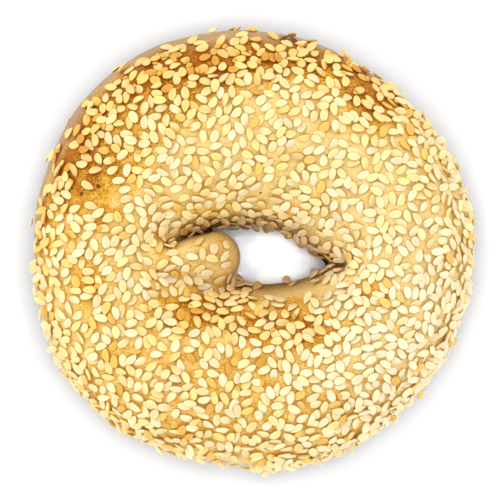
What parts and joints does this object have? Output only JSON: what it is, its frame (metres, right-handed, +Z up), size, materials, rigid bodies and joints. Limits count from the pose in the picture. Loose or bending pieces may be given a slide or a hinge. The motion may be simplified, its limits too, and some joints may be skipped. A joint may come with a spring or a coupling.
{
  "type": "bagel",
  "caption": "Whole ring-shaped bread roll with a slit-like hole, a bare knob of dough at one end of the hole, and sesame seeds baked on its crust.",
  "frame": {"origin": "middle of the bounding box in plan, at the level of the flat underside", "axes": "+Z up, from the underside to the seeded crust; +X along the slit of the hole, away from the knob"},
  "size_m": [0.1074, 0.1093, 0.0381],
  "materials": {
    "crust": "satin",
    "sesame": "satin"
  },
  "bodies": {
    "root": {"bread": "crust", "rim_seed_01": "sesame", "rim_seed_02": "sesame", "rim_seed_03": "sesame", "rim_seed_04": "sesame", "rim_seed_05": "sesame", "rim_seed_06": "sesame", "rim_seed_07": "sesame", "rim_seed_08": "sesame", "rim_seed_09": "sesame", "rim_seed_10": "sesame", "rim_seed_11": "sesame", "rim_seed_12": "sesame", "rim_seed_13": "sesame", "rim_seed_14": "sesame", "rim_seed_15": "sesame", "rim_seed_16": "sesame", "rim_seed_17": "sesame", "rim_seed_18": "sesame", "rim_seed_19": "sesame", "rim_seed_20": "sesame", "rim_seed_21": "sesame", "rim_seed_22": "sesame", "rim_seed_23": "sesame", "rim_seed_24": "sesame", "rim_seed_25": "sesame", "rim_seed_26": "sesame", "rim_seed_27": "sesame", "rim_seed_28": "sesame", "rim_seed_29": "sesame", "rim_seed_30": "sesame", "rim_seed_31": "sesame", "rim_seed_32": "sesame", "rim_seed_33": "sesame", "rim_seed_34": "sesame", "rim_seed_35": "sesame", "rim_seed_36": "sesame", "rim_seed_37": "sesame", "rim_seed_38": "sesame", "rim_seed_39": "sesame", "rim_seed_40": "sesame", "rim_seed_41": "sesame", "rim_seed_42": "sesame", "rim_seed_43": "sesame", "rim_seed_44": "sesame", "rim_seed_45": "sesame", "rim_seed_46": "sesame", "rim_seed_47": "sesame", "rim_seed_48": "sesame"}
  },
  "joints": []
}
